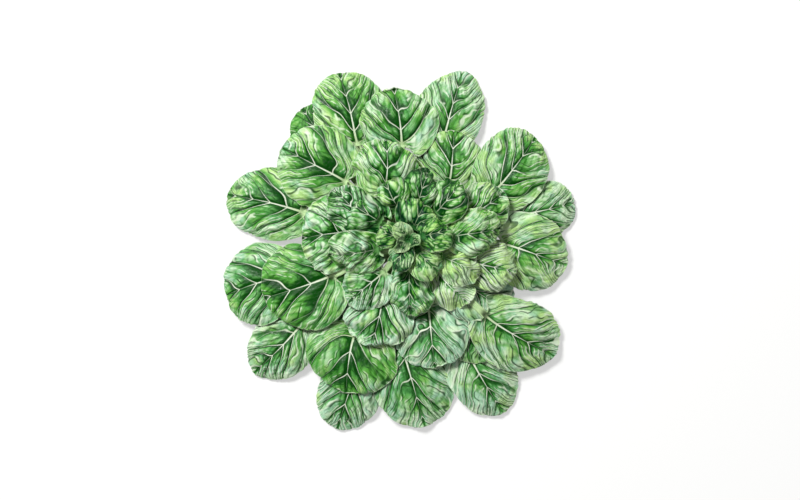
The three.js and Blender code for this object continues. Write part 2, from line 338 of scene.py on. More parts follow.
def plain_leaf(node, habit, sway):
    """A CAD leaf as a bare sheet, [row, place across]: its skin on top and the underside of its
    stalk, then the columns' places across from -1 to 1, and the sections and tip it comes from.

    The stalk is a curve round each section and a curve along it. The blade is the same, with its
    rows closer near both ends, up to the tip. Then it is curled, rolled about its middle line and
    swayed to one side, all of them more towards the tip."""
    upper, under, foot, tip = cross_sections(node)
    outward = unit((tip - foot) * (1, 1, 0))
    larger = np.array([habit["size"], habit["size"], 1])
    inward = -habit["inward"] * outward
    upper, under, tip = (foot + (part - foot) * larger + inward for part in (upper, under, tip))
    widths = np.linalg.norm(upper[:, 0] - upper[:, -1], axis=1)
    neck = (widths[1:] / widths[:-1]).argmax()  # the last section of the stalk

    rings = np.concatenate([upper[: neck + 1], under[: neck + 1, -2:0:-1]], axis=1)
    rings = np.concatenate([2 * rings[:1] - rings[1:2], rings, 2 * rings[-1:] - rings[-2:-1]])
    tube = np.concatenate([rings[:, -1:], rings, rings[:, :2]], axis=1).transpose(1, 0, 2)
    lift = (upper[neck + 1 :, 1:2] - under[neck + 1 :, 1:2]) / 2
    sheet = upper[neck:].copy()
    sheet[1:, [0, -1]] += lift
    point = np.repeat((tip + lift[-1, 0])[None, None], sheet.shape[1], axis=1)
    sheet = np.concatenate([sheet, point])
    sheet = np.concatenate([sheet[1:2, ::-1], sheet, sheet[-2:-1, ::-1]]).transpose(1, 0, 2)
    sheet = np.concatenate([2 * sheet[:1] - sheet[1:2], sheet, 2 * sheet[-1:] - sheet[-2:-1]])

    stalk_rows, blade_rows, columns = habit["grid"]
    r = np.linspace(0, 1, blade_rows + 2)[1:-1]
    blade_at = (sheet.shape[1] - 3) * (0.5 * r + 0.5 * np.arccos(1 - 2 * r) / math.pi)
    stalk_at = np.linspace(0, neck, stalk_rows)
    inner = np.linspace(-RIM[0], RIM[0], columns - 4)[1:-1]
    v = np.concatenate([-RIM[::-1], inner, RIM])
    middle = len(v) // 2
    blade = follow(follow(sheet, 3 + 3 * v).transpose(1, 0, 2), blade_at)
    ear = (np.abs(v) ** 1.5) * ((1 - r) ** 3 * ease(r, 0, 0.08))[:, None]
    blade = blade - ear[:, :, None] * (outward * habit["ears"])
    stalk = follow(follow(tube, 3 + 3 * v).transpose(1, 0, 2), stalk_at)
    heel = follow(follow(tube, 9 - 3 * v).transpose(1, 0, 2), stalk_at)

    share = np.concatenate([np.zeros(stalk_rows), (1 - np.cos(math.pi * r)) / 2])
    places = bend(np.concatenate([stalk, blade]), np.radians(habit["curl"]) * share**1.5)
    spine = places[:, middle : middle + 1]
    rolled = np.radians(habit["roll"] * share)[:, None, None]
    rightward = unit(places[:, middle + 1] - places[:, middle - 1])[:, None]
    swayed = rightward * (sway * share**2)[:, None, None]
    places = spine + turned(places - spine, unit(np.gradient(spine, axis=0)), rolled) + swayed
    return places, heel, v, (upper[neck], under[neck], tip)


FOOT_GRIP = 2.6  # how far the foot of each stalk is pushed into the stem
FOOT_FLARE = 0.4  # how much wider the foot is than the stalk
FOOT_LENGTH = 5  # over which both fade, to 1 in 2.7
PATTERN_STEP = 13  # between the leaves' places in the pattern, so that no two are alike
TABLE_GAP = {"top": 0.6, "back": 0.1}  # the lowest that each side of a leaf may lie
MIDRIB_STRETCH = (2.4, 0.6)  # half width of the midrib's valley, at the neck and at the tip
STALK_CHANNEL = 0.35  # depth of the channel on top of the stalk, in stalk depths
RAISED_VEIN = 0.35  # how far a side vein stands out underneath
STRONG_VEINS = (0.35, 0.6, 0.85, 1.0)  # how deep side veins are, drawn for each
STRONG_FORKS = (0.2, 0.4, 0.7, 0.9)
YELLOW_SIDE, DARK_SIDE = 0.9, -2.4  # where the head is yellower and darker, in radians from +x


def grow(node, habit, seed):
    """One leaf's skin, [row, place round the section], in millimetres, what its finish needs to
    know there, and the places across that its columns stand at. Each row runs over the top from
    left to right and back underneath.

    The height over the bare sheet is the puff of the panels, which is in proportion to the gap
    between side veins and 0 along them and the midrib, plus long waves, a hood that drops with the
    distance from the blade's middle, and a ruffle near the margin. Then lobes and notches move the
    margin in and out. Underneath, the midrib and the side veins stand out."""
    # A stream of draws for each kind of unevenness.
    seeds = np.random.default_rng(seed).integers(0, 2**31, 9)
    noise = [np.random.default_rng(each) for each in seeds]
    sway = noise[8].uniform(-1, 1) * habit["sway"]
    places, heel, v, (neck_top, neck_under, tip) = plain_leaf(node, habit, sway)
    stalk_rows, blade_rows, _ = habit["grid"]
    on_blade = (np.arange(stalk_rows + blade_rows) >= stalk_rows)[:, None]
    middle = len(v) // 2

    # Where each place is, flattened: x across from the midrib, and y along it from the neck.
    rightward = unit(np.gradient(places, axis=1))
    normal = unit(np.cross(rightward, np.gradient(places, axis=0)))
    forward = np.cross(normal, rightward)
    spine = places[:, middle : middle + 1]
    steps = np.linalg.norm(np.diff(spine[:, 0], axis=0), axis=1)
    far = np.concatenate([[0], np.cumsum(steps)])
    sweep = ((places - spine) * unit(np.gradient(spine, axis=0))).sum(axis=2)
    y = (far - far[stalk_rows - 1])[:, None] + sweep * on_blade
    x = np.diff(places, axis=1, prepend=places[:, :1])
    x = np.cumsum(np.linalg.norm(x, axis=2), axis=1)
    x = x - x[:, middle : middle + 1]
    width, length = np.abs(x).max(), far[-1] - far[stalk_rows - 1] + 0.3
    # `edge` is 0 in the middle of the blade and 1 on its margin, `free` is 0 at the neck, and
    # `leafy` is 0 on the stalk. Both are 1 on most of the blade.
    edge = np.clip(np.hypot(x / width, 2 * y / length - 1), 0, 1)
    free = ease(y, -0.05 * length, 0.3 * length)
    from_neck = np.hypot(x, y)
    leafy = ease(from_neck, 2.5, 0.2 * length) * on_blade

    # The panels between the veins. Some veins and forks are deeper than others.
    count, fork, reach, gap = venation(x, y, width, habit, noise[0])
    veins, forks = noise[1].choice((STRONG_VEINS, STRONG_FORKS), (60,), axis=1)
    strong = veins[np.round(count).astype(int) + 20 + 20 * (x > 0)] * habit["vein_depth"]
    forked = forks[np.round(fork).astype(int) + 20 + 20 * (x > 0)] * ease(reach, FORK_AT, 0.7)
    furrow = np.maximum(strong, 1 - ease(reach, 0.0, 0.3)) * (1 - pillow(count))
    dome = (1 - furrow) * (1 - forked * (1 - pillow(fork)))
    # Near the margin the panels end in rounded tips, and the sheet beyond them is nearly flat.
    flat = ease(edge + 0.05 * swell(x, y, 0.3 * width, noise[7]), 0.8, 0.98)
    notches = 1 - dome
    dome = dome + (0.75 - dome) * 0.65 * flat
    strong = strong * (1 - 0.65 * flat)
    forked = forked * (1 - 0.5 * flat)
    cells = blisters(1.15 * habit["cell"] * count, reach * width, habit["cell"], noise[2])
    wide, narrow = MIDRIB_STRETCH
    valley = 1 - np.exp(-((x / (wide - (wide - narrow) * np.clip(y / length, 0, 1))) ** 2))
    lush = dome * valley * (1 - habit["cell_depth"] * (1 - cells))
    puff = np.clip(habit["puff"] * gap, 0.25, habit["puff_limit"])
    rise = puff * (lush - 0.2) * (1 - 0.4 * edge**8)
    waves = swell(x, y, habit["wave_length"], noise[3])
    rise += habit["wave"] * waves + habit["hood"] * free * (0.4 - edge**2.5)
    ruffles = 0.4 + swell(x, y, habit["ruffle_length"], noise[4])
    rise += habit["ruffle"] * free * edge**5 * ruffles

    # The outline's lobes and notches.
    around = np.arctan2(x / width, 2 * y / length - 1)
    outline = habit["lobes"] * swell(np.cos(around), np.sin(around), 1.5, noise[5])
    outline -= habit["scallop"] * notches
    away = unit(np.stack([x, y - length / 2], axis=2))
    away = away * (edge**6 * outline * free * on_blade)[:, :, None]
    front = places + normal * (rise * leafy)[:, :, None]
    front = front + rightward * away[:, :, :1] + forward * away[:, :, 1:]

    # The underside, with its midrib and side veins, and the channel on top of the stalk.
    depth = np.linalg.norm(neck_top[3] - neck_under[3])
    rib_width = np.linalg.norm(neck_top[0] - neck_top[-1]) / 2
    rib_width = rib_width * (1 - 0.7 * np.clip(y / length, 0, 1))
    body = habit["thickness"] * np.sqrt(1 - v**12) * ease(from_neck, 0, 3)
    bulge = np.clip(1 - (x / rib_width) ** 2, 0, 1) ** (0.5 + ease(y, 0, 6))
    rib = depth * bulge * np.clip(1 - y / length, 0, 1) ** 1.5
    side_veins = RAISED_VEIN * (1 - dome) * leafy * (1 - np.abs(v) ** 6)
    back = front - normal * (body + rib + side_veins)[:, :, None]
    back[:stalk_rows] = heel
    channel = STALK_CHANNEL * depth * np.exp(-((v / 0.5) ** 2)) * (1 - ease(y, -1, 8))
    front = front - normal * (channel * (np.abs(x) < 6))[:, :, None]

    # The foot widens into the stem, and nothing goes below the table.
    hold = (np.exp(-far / FOOT_LENGTH) * (far < far[stalk_rows]))[:, None, None]
    sides = []
    for side, lowest in ((front, TABLE_GAP["top"]), (back, TABLE_GAP["back"])):
        side = side + (side - spine) * FOOT_FLARE * hold
        side = side - forward[:, middle : middle + 1] * FOOT_GRIP * hold
        side[:, :, 2] = np.maximum(side[:, :, 2], lowest)
        sides.append(side)
    front, back = sides

    # What the finish needs to know of the colour, and of the way to the margin.
    heading = math.atan2(tip[1], tip[0])
    ripe = habit["yellow"] + 0.3 * math.cos(heading - YELLOW_SIDE)
    ripe = ripe + noise[6].uniform(-0.3, 0.3)
    tone = habit["tone"] - 0.2 * max(0.0, math.cos(heading - DARK_SIDE))
    # Painted shade darkens the blade towards its margin, where a hooded blade turns down.
    tone = tone - habit["dusk"] * ease(edge, 0.5, 1.0)
    # Painted light on the crests of the long waves, and painted shade in their hollows.
    tone = tone + habit["wave_shade"] * waves
    margin = np.minimum(np.minimum(x - x[:, :1], x[:, -1:] - x), length - y)
    same = np.ones_like(x)
    facts = {
        "place": (x, y, same * (seed % 97) * PATTERN_STEP),
        "veins": (count, fork, gap),
        "sheet": (reach, lush, edge),
        "growth": (forked, strong, y / length),
        "kind": (ease(from_neck, 1.5, 6) * on_blade, 0 * same, ripe * same),
        "mood": (tone, margin, cells),
    }
    for name, values in facts.items():
        values = np.stack(values, axis=2)
        facts[name] = np.concatenate([values, values[:, -2:0:-1]], axis=1)
    facts["kind"][:, len(v) :, 1] = 1
    return np.concatenate([front, back[:, -2:0:-1]], axis=1), facts, v


def tube_faces(rows, ring):
    """The corners of a tube's faces, [row, place round it, corner], seen from outside. Corner
    number i is on row i // ring."""
    i, j = np.arange(rows - 1)[:, None] * ring, np.arange(ring)
    after = (j + 1) % ring
    return np.stack([i + j, i + after, i + ring + after, i + ring + j], axis=2)


def leaf_piece(node, habit, finish, seed):
    """Grows one leaf, closes it at the foot and at the tip, and makes it the piece that replaces
    the CAD node. The foot's cap meets at the middle of the first row, and the tip's half a step
    beyond the middle of the last."""
    skin, facts, v = grow(node, habit, seed)
    rows, ring = skin.shape[:2]
    foot, tip = skin[0].mean(axis=0), 1.5 * skin[-1].mean(axis=0) - 0.5 * skin[-2].mean(axis=0)
    spots = np.concatenate([skin.reshape(-1, 3), foot[None], tip[None]])
    first, last = rows * ring, rows * ring + 1

    # Its two sides lie flat next to each other in the layout of the surface.
    centres = skin.mean(axis=1)
    far = np.cumsum(np.linalg.norm(np.diff(centres, axis=0, prepend=centres[:1]), axis=1))
    up = 0.02 + 0.96 * far / far[-1]
    over = 0.01 + 0.48 * (v + 1) / 2
    beside = np.stack([over[:-1], over[1:]], axis=1)
    beside = np.concatenate([beside, 0.5 + beside])
    start, stop = beside.T

    quads = tube_faces(rows, ring)
    low, high = np.broadcast_arrays(up[:-1, None], up[1:, None], start)[:2]
    left, right = np.broadcast_arrays(start, stop, low)[:2]
    quad_uv = np.stack([left, low, right, low, right, high, left, high], axis=-1)
    # A quad is split between its first and third corners, so it starts where that runs with the
    # side veins: outwards and towards the tip.
    inwards = np.diff(np.abs(np.concatenate([v, v[-2::-1]]))) < 0
    quads = np.where(inwards[:, None], np.roll(quads, -1, axis=2), quads).reshape(-1, 4)
    quad_uv = np.where(inwards[:, None], np.roll(quad_uv, -2, axis=2), quad_uv).reshape(-1)

    centre, same = beside.mean(axis=1), np.ones(ring)
    here = np.arange(ring)
    after = (here + 1) % ring
    heel = np.stack([after, here, np.full(ring, first)], axis=1)
    heel_uv = [stop, up[0] * same, start, up[0] * same, centre, 0.005 * same]
    end = (rows - 1) * ring
    nose = np.stack([end + here, end + after, np.full(ring, last)], axis=1)
    nose_uv = [start, up[-1] * same, stop, up[-1] * same, centre, 0.995 * same]
    caps_uv = [np.stack(cap, axis=1).ravel() for cap in (heel_uv, nose_uv)]

    mesh = bpy.data.meshes.new(node)
    mesh.from_pydata((spots * MM).tolist(), [], quads.tolist() + heel.tolist() + nose.tolist())
    mesh.shade_smooth()
    layout = mesh.uv_layers.new(name="OFBake")
    layout.data.foreach_set("uv", np.concatenate([quad_uv, *caps_uv]).astype(np.float32))
    for name, values in facts.items():
        at_foot, at_tip = values[0].mean(axis=0), values[-1, len(v) // 2]
        values = np.concatenate([values.reshape(-1, 3), at_foot[None], at_tip[None]])
        noted = mesh.attributes.new(name, "FLOAT_VECTOR", "POINT")
        noted.data.foreach_set("vector", values.astype(np.float32).ravel())
    mesh.materials.append(finish)
    mesh.validate()
    piece = new_object(node, mesh)
    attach(piece, "root")
    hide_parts(node)


# Kinds of node that recur. TO_WHOLE, with 0.5 as its second number, gives the distance to the
# nearest whole number, and PART what is left over past the last one.
PLUS, MINUS, TIMES, LARGER, TO_WHOLE, PART = (
    ("Math", {"operation": work})
    for work in ("ADD", "SUBTRACT", "MULTIPLY", "MAXIMUM", "PINGPONG", "FRACT")
)
SMOOTH = ("MapRange", {"interpolation_type": "SMOOTHSTEP"})
BLEND = ("Mix", {"data_type": "RGBA"})
TINT = ("Mix", {"data_type": "RGBA", "blend_type": "MULTIPLY"})

# Sizes of the pattern. The net of finest veins has meshes of about 1 mm, and is drawn at 2.4 mm so
# that it shows. The patches are how far one shade runs before the next.
NET_MESH, NET_WARP, NET_PATCH = 2.4, 2.5, 5
WARM_PATCH, COOL_PATCH, LIGHT_PATCH, SHADE_PATCH = 16, 12, 6, 7
FOLD_PATCH, FOLD_WANDER = 14, 3.0  # folds drift by up to this many folds over such a patch
DULL_PATCH, SKIN_GRAIN, GRAIN_DEPTH = 3, 0.9, 0.35
SIDE_VEIN, FORK_VEIN = 0.3, 0.3  # half widths of the pale lines
MIDRIB_EDGE, SIDE_EDGE = (-0.25, 0.2), (-0.12, 0.15)  # how softly they end
SIDE_CREASE, FORK_CREASE = (0.8, 1.4), (0.5, 1.0)  # where the dark beside a vein ends
MIDRIB_SHADE, FORK_SHADE = (0.6, 3.0), (0.1, 1.3)
MARGIN_LINE = (0.15, 0.6)
DULLER = 0.18  # added to the roughness where the wax is worn
WAX_SHINE = 0.25  # half the usual specular level, for a satin gleam


def leaf_finish(name, shades, gloss, rib, bubbly, vivid, fine, folded, pleats, pale=0.9):
    """The finish of one kind of leaf, from the facts that grow() leaves on its skin.

    The green follows a level, which is the height of the panel plus several changes: a green of
    painted shade below it, then body, then one of painted highlight, multiplied in soft patches
    by warm and cool. Over that, lines lie where the distance in millimetres to the nearest vein is
    small: creases and folds of painted shade, painted highlights beside the folds, pale veins.

    `gloss` is the roughness where the skin is shiniest, `rib` half the midrib's width at the neck,
    `bubbly` how much painted light the blisters take inside and painted shade on their borders,
    `vivid` its contrast, `fine` the fibres from one side vein to the next, `folded` the strength of
    fibres and folds, `pleats` the folds from one side vein to the next, and `pale` the strength of
    the veins and of the painted light along the margin."""
    material, tree = new_material(name)
    add = functools.partial(put, tree)
    hue = types.SimpleNamespace(**{part: linear(shade) for part, shade in shades.items()})
    place, veins, sheet, growth, kind, mood = (
        add("Attribute", attribute_name=facts).outputs["Vector"]
        for facts in ("place", "veins", "sheet", "growth", "kind", "mood")
    )
    x, _, leaf = add("SeparateXYZ", place).outputs
    count, fork, gap = add("SeparateXYZ", veins).outputs
    reach, lush, edge = add("SeparateXYZ", sheet).outputs
    forked, strong, share = add("SeparateXYZ", growth).outputs
    leafy, below, ripe = add("SeparateXYZ", kind).outputs
    tone, margin, cells = add("SeparateXYZ", mood).outputs

    # Distances in millimetres to the nearest vein of each kind.
    to_midrib = add("Math", x, operation="ABSOLUTE")
    to_side, to_fork = (add(TIMES, add(TO_WHOLE, number, 0.5), gap) for number in (count, fork))

    # The pale lines: each is as wide as its vein, and fades along it.
    midrib = add(MINUS, to_midrib, add(SMOOTH, share, 0.0, 0.8, rib, 0.0))
    midrib = add(SMOOTH, midrib, *MIDRIB_EDGE, 1.0, 0.0)
    midrib = add(TIMES, midrib, add(SMOOTH, share, 0.85, 0.97, 1.0, 0.0))
    side = add(MINUS, to_side, add(SMOOTH, reach, 0.0, 0.8, SIDE_VEIN, 0.0))
    side = add(SMOOTH, side, *SIDE_EDGE, 1.0, 0.0)
    side = add(TIMES, side, add(SMOOTH, reach, 0.3, 1.0, 1.0, 0.35))
    near_midrib = add(SMOOTH, reach, 0.1, 0.7, 0.8, 0.0)
    main = add(LARGER, add(SMOOTH, strong, 0.45, 0.9), near_midrib)
    side = add(TIMES, side, main)  # weak side veins show only near the midrib
    forks = add(TIMES, add(SMOOTH, to_fork, 0.0, FORK_VEIN, 1.0, 0.0), forked)
    forks = add(TIMES, forks, add(SMOOTH, reach, 0.6, 1.0, 0.7, 0.3))
    lines = add(LARGER, add(LARGER, side, forks), midrib)
    wander = add("TexNoise", place, 1 / NET_WARP).outputs["Color"]
    warped = add("VectorMath", place, wander, operation="ADD")
    net = add("TexVoronoi", warped, 1 / NET_MESH, feature="DISTANCE_TO_EDGE")
    net = add(SMOOTH, net, 0.0, 0.1, 1.0, 0.0)

    # Noise drawn out from vein to vein makes the thin cross veins that bridge each panel. Drawn out
    # along the side veins, it makes coarse and fine fibres.
    streaks = []
    for often_across, often_along, detail, wavy in (
        (0.8, 14.0, 3.0, 0.4),
        (7.0, 2.5, 4.0, 0.3),
        (fine, 5.0, 2.0, 0.6),
    ):
        across = add(TIMES, count, often_across)
        spot = add("CombineXYZ", across, add(TIMES, reach, often_along), leaf)
        streaks.append(add("TexNoise", spot, 1.0, detail, named={"Distortion": wavy}))
    bridges, fibres, hairs = streaks

    # The panels' green, painted shade and light: dark beside the veins and near the stalk, where
    # they lie deep, light on the crowns and outwards, and across each panel darker on one side
    # than the other, as if lit from the side.
    lit_side = add(SMOOTH, add(PART, count), 0.0, 0.85, -0.5, 0.5)
    lit_side = add(TIMES, lit_side, strong)
    level = add(TIMES, lush, 0.55)
    level = add(PLUS, level, add(SMOOTH, edge, 0.3, 1.0, 0.0, 0.3))
    level = add(PLUS, level, add(SMOOTH, reach, 0.0, 0.55, -0.3, 0.12))
    # The tone brings painted shade to the rims and the waves' hollows and painted light to their
    # crests, and the blisters take painted light inside and painted shade on their borders.
    for change, usual, amount in (
        (lit_side, 0.0, 0.4),
        (tone, 0.0, 0.75),
        (cells, 0.6, bubbly),
        (add("TexNoise", place, 1 / LIGHT_PATCH, 4.0), 0.5, 0.16),
        (bridges, 0.5, 0.2),
        (fibres, 0.5, 0.36),
    ):
        change = add(TIMES, add(MINUS, change, usual), amount)
        level = add(PLUS, level, change)
    level = add(TIMES, add(MINUS, level, 0.45), vivid)
    level = add(PLUS, level, 0.45)
    # Low levels take the green of painted shade, and high ones the green of painted highlight.
    body_share = add(SMOOTH, level, -0.05, 0.45)
    green = add(BLEND, body_share, hue.deep, hue.body)
    highlight_share = add(SMOOTH, level, 0.35, 1.05, 0.0, 0.95)
    green = add(BLEND, highlight_share, green, hue.crest)
    ripeness = add("TexNoise", place, 1 / WARM_PATCH)
    ripeness = add(PLUS, ripeness, add(TIMES, ripe, 0.16))
    ripeness = add(SMOOTH, ripeness, 0.42, 0.6, 0.0, 0.85)
    green = add(TINT, ripeness, green, hue.warm)
    coldness = add("TexNoise", place, 1 / COOL_PATCH, 3.0)
    coldness = add(MINUS, coldness, add(TIMES, ripe, 0.08))
    coldness = add(SMOOTH, coldness, 0.46, 0.62, 0.0, 0.9)
    green = add(TINT, coldness, green, hue.cool)
    netted = add(TIMES, add("TexNoise", place, 1 / NET_PATCH), 0.2)
    green = add(BLEND, add(TIMES, net, netted), green, hue.deep)

    # Shade beside the veins, wider on the side that faces the neck.
    ahead = add(SMOOTH, add(PART, count), 0.35, 0.65, 1.8, 0.6)
    shade = add("Math", to_side, ahead, operation="DIVIDE")
    shade = add(SMOOTH, shade, 0.0, 1.4, 0.95, 0.0)
    shade = add(TIMES, shade, strong)
    shade = add(TIMES, shade, add(SMOOTH, reach, 0.4, 1.1, 1.0, 0.5))
    by_fork = add(SMOOTH, to_fork, *FORK_SHADE, 0.7, 0.0)
    shade = add(LARGER, shade, add(TIMES, by_fork, forked))
    patches = add(SMOOTH, add("TexNoise", place, 1 / SHADE_PATCH), 0.35, 0.6, 0.4, 1.0)
    shade = add(TIMES, shade, patches)
    by_midrib = add(SMOOTH, to_midrib, *MIDRIB_SHADE, 0.55, 0.0)
    fading = add(SMOOTH, share, 0.3, 0.8, 1.0, 0.0)
    shade = add(LARGER, shade, add(TIMES, by_midrib, fading))
    green = add(BLEND, shade, green, hue.deep)

    # Dark fibres, pale fibres on the crowns that are painted glints, and painted shade in a crease
    # along one side of each vein.
    dark = add(SMOOTH, hairs, 0.37, 0.45, 0.38 * folded, 0.0)
    green = add(BLEND, dark, green, hue.crack)
    glint = add(SMOOTH, hairs, 0.56, 0.64, 0.0, 0.36 * folded)
    glint = add(TIMES, glint, add(SMOOTH, level, 0.3, 0.8))
    green = add(BLEND, glint, green, hue.crest)
    for distance, number, depth, limits, most in (
        (to_side, count, strong, SIDE_CREASE, 0.95),
        (to_fork, fork, forked, FORK_CREASE, 0.8),
    ):
        crease = add(SMOOTH, distance, *limits, 1.0, 0.0)
        one_side = add(SMOOTH, add(PART, number), 0.4, 0.5, 1.0, 0.0)
        for factor in (one_side, depth, most):
            crease = add(TIMES, crease, factor)
        green = add(BLEND, crease, green, hue.crack)

    # Hair-thin folds run along the panels, drawn in painted shade and painted highlight.
    drifting = add(TIMES, add("TexNoise", place, 1 / FOLD_PATCH, 1.0), FOLD_WANDER)
    folds = add(PLUS, add(TIMES, count, pleats), drifting)
    for shift, most, colour in ((0.0, 0.8, hue.crack), (0.2, 0.6, hue.vein)):
        near = add(TO_WHOLE, add(PLUS, folds, shift), 0.5)
        near = add(TIMES, near, gap)
        near = add(SMOOTH, near, 0.22 * pleats, 0.62 * pleats, most * folded, 0.0)
        broken = add(SMOOTH, add("TexNoise", place, 1 / (11 + 8 * shift)), 0.4, 0.55)
        raised = add(SMOOTH, level, 0.1 + shift, 0.3 + shift)
        for factor in (broken, raised):
            near = add(TIMES, near, factor)
        green = add(BLEND, near, green, colour)

    # A pale line of painted light along the margin, the pale veins on top, the paler back, and the
    # streaked stalk.
    rim_light = add(SMOOTH, margin, *MARGIN_LINE, 0.6 * pale, 0.0)
    green = add(BLEND, rim_light, green, hue.vein)
    from_neck = add(SMOOTH, share, 0.0, 0.35)
    line = add(BLEND, from_neck, hue.stalk, hue.vein)
    front = add(BLEND, add(TIMES, lines, pale), green, line)
    near_rim = add(SMOOTH, margin, 0.5, 2.0, 0.9, 0.0)
    panels = add(LARGER, add(SMOOTH, lush, 0.1, 0.7, 0.0, 0.8), near_rim)
    underneath = add(BLEND, panels, hue.vein, hue.back)
    skin = add(BLEND, below, front, underneath)
    lengthwise = add("VectorMath", place, (3.0, 0.12, 1.0), operation="MULTIPLY")
    lengthwise = add("TexNoise", lengthwise, 1.0, 2.0)
    streaked = add(SMOOTH, lengthwise, 0.35, 0.7, 0.0, 0.55)
    flesh = add(BLEND, streaked, hue.stalk, hue.body)
    skin = add(BLEND, leafy, flesh, skin)

    # Fine grain and the net in relief, under a skin whose wax is duller in places.
    grain = add(TIMES, add("TexNoise", place, 1 / SKIN_GRAIN, 3.0, 0.6), 0.6)
    grain = add(MINUS, grain, add(TIMES, net, 0.35))
    grain = add(PLUS, grain, add(TIMES, bridges, 1.6))
    relief = {"Strength": 0.8, "Distance": GRAIN_DEPTH * MM, "Height": grain}
    dull = add("TexNoise", place, 1 / DULL_PATCH, 3.0)
    dull = add(SMOOTH, dull, 0.3, 0.7, gloss, gloss + DULLER)
    wax = {
        "Base Color": skin,
        "Roughness": dull,
        "Normal": add("Bump", named=relief),
        "Specular IOR Level": WAX_SHINE,
    }
    add("OutputMaterial", add("BsdfPrincipled", named=wax))
    return material


# What every leaf's habit says. Each later kind changes some of it.
outer_habit = dict(
    grid=(12, 84, 66),  # rows on the stalk, rows on the blade, places across
    size=1.0,  # against the CAD leaf, seen from above
    inward=0.0,  # moved towards the heart
    curl=0.0,  # degrees that the tip is raised
    roll=0.0,  # degrees that the tip is turned about the midrib
    sway=5.0,  # most that the tip is moved sideways
    fan=1.55,  # side veins on each side that start at the neck
    crowding=0.74,  # more veins with more of it
    vein_depth=1.0,
    puff=0.19,  # height of a panel against its width, and the most it may be
    puff_limit=1.9,
    cell=5.0,  # size and depth of the blisters
    cell_depth=0.4,
    hood=0.6,  # how far the margin drops all round
    wave=0.4,
    wave_length=34.0,
    wave_shade=0.1,  # painted light on the waves' crests and painted shade in their hollows
    ruffle=0.6,
    ruffle_length=17.0,
    lobes=1.3,  # how far the outline swells in and out
    scallop=1.5,  # and its notches at the veins
    thickness=0.7,
    dusk=0.0,  # how much painted shade darkens the margin of a hooded blade
)
# Waxy skin over the dark green flesh of a leaf grown in the open: a satin gleam on the puffed
# panels, with painted highlights on their crowns and painted shade between them, and milky
# veins. The default IOR of 1.5 is that of leaf wax.
outer_finish = leaf_finish(
    "outer_leaf_skin",
    dict(
        crack="#003803", deep="#034c03", body="#60a953",
        crest="#d2ecc6", warm="#dff3a8", cool="#cee8ec",
        vein="#e8f2da", back="#a9c39a", stalk="#c6dea6",
    ),
    gloss=0.28, rib=0.85, bubbly=0.15, vivid=1.0, fine=19.0, folded=1.0, pleats=2.7,
)
# How far the blade's ears reach back beside the stalk, and how much lighter each leaf's green is,
# above 0, and darker below. Some leaves are yellower than the rest and some bluer.
PLAIN_EARS = 5.0
outer_ears = {3: 15.0, 4: 10.0, 17: 17.0, 21: 14.0, 22: 12.0}
outer_tones = {
    2: -0.45, 3: 0.25, 4: 0.3, 5: 0.26, 6: 0.1, 9: 0.17, 10: 0.26, 11: -0.08, 12: -0.1, 13: 0.32,
    14: 0.7, 16: 0.18, 17: 0.26, 20: -0.08, 21: -0.03, 22: -0.35, 23: -0.1,
}
YELLOWISH, BLUISH, TINGE = (2, 11, 19, 21, 23), (3, 4, 6, 10, 13, 14), 0.7
for seed in range(1, 24):
    yellow = TINGE * ((seed in YELLOWISH) - (seed in BLUISH))
    tone, ears = outer_tones.get(seed, 0.0), outer_ears.get(seed, PLAIN_EARS)
    habit = dict(outer_habit, ears=ears, tone=tone, yellow=yellow)
    leaf_piece(f"outer_leaf_{seed:02d}", habit, outer_finish, seed)


# ---- Middle leaves ----
# The 8 leaves of the second whorl stand clear of the outer ones. They are younger, rounder and more
# blistered.

middle_habit = dict(
    outer_habit, grid=(11, 80, 62), sway=4.0, fan=2.3, crowding=0.76, vein_depth=0.95, puff=0.2,
    puff_limit=2.1, cell_depth=0.5, hood=2.4, wave=1.2, wave_length=21.0, wave_shade=0.2,
    ruffle=1.5, ruffle_length=12.0, lobes=1.4, scallop=1.6,
)
# The same waxy skin, a little younger: the green is fresher and the gleam a little brighter.
middle_finish = leaf_finish(
    "middle_leaf_skin",
    dict(
        crack="#003604", deep="#044b05", body="#67b05a",
        crest="#d5edc9", warm="#e1f4aa", cool="#cee8ec",
        vein="#e9f3de", back="#aec6a0", stalk="#b0cb92",
    ),
    gloss=0.26, rib=0.65, bubbly=0.25, vivid=1.1, fine=15.0, folded=0.9, pleats=2.7,
)
MIDDLE_SEED = 100
middle_moods = (  # size, ears, tone and yellow of each
    (1.0, 4.0, 0.45, 0.6),
    (1.0, 4.0, 0.0, 0.3),
    (1.06, 4.0, 0.24, -0.2),
    (1.0, 4.0, 0.15, 0.2),
    (1.0, 10.0, -0.05, 0.2),
    (1.0, 8.0, -0.15, -0.2),
    (1.06, 4.0, 0.15, -0.4),
    (1.0, 4.0, 0.6, 0.6),
)
for seed, (size, ears, tone, yellow) in enumerate(middle_moods, start=1):
    habit = dict(middle_habit, size=size, ears=ears, tone=tone, yellow=yellow)
    leaf_piece(f"middle_leaf_{seed:02d}", habit, middle_finish, MIDDLE_SEED + seed)


# ---- Inner leaves ----
# The 8 leaves of the third whorl are small, cupped and strongly crinkled, and green down to the
# stalk: a young stalk is greener, and its darker green is painted shade between the leaves.

inner_habit = dict(
    middle_habit, grid=(10, 66, 50), ears=2.5, sway=3.0, vein_depth=0.65, puff=0.26, cell=4.2,
    cell_depth=0.6, wave_length=13.0, wave_shade=0.35, ruffle=1.4, ruffle_length=8.0, lobes=1.1,
    scallop=1.0,
)
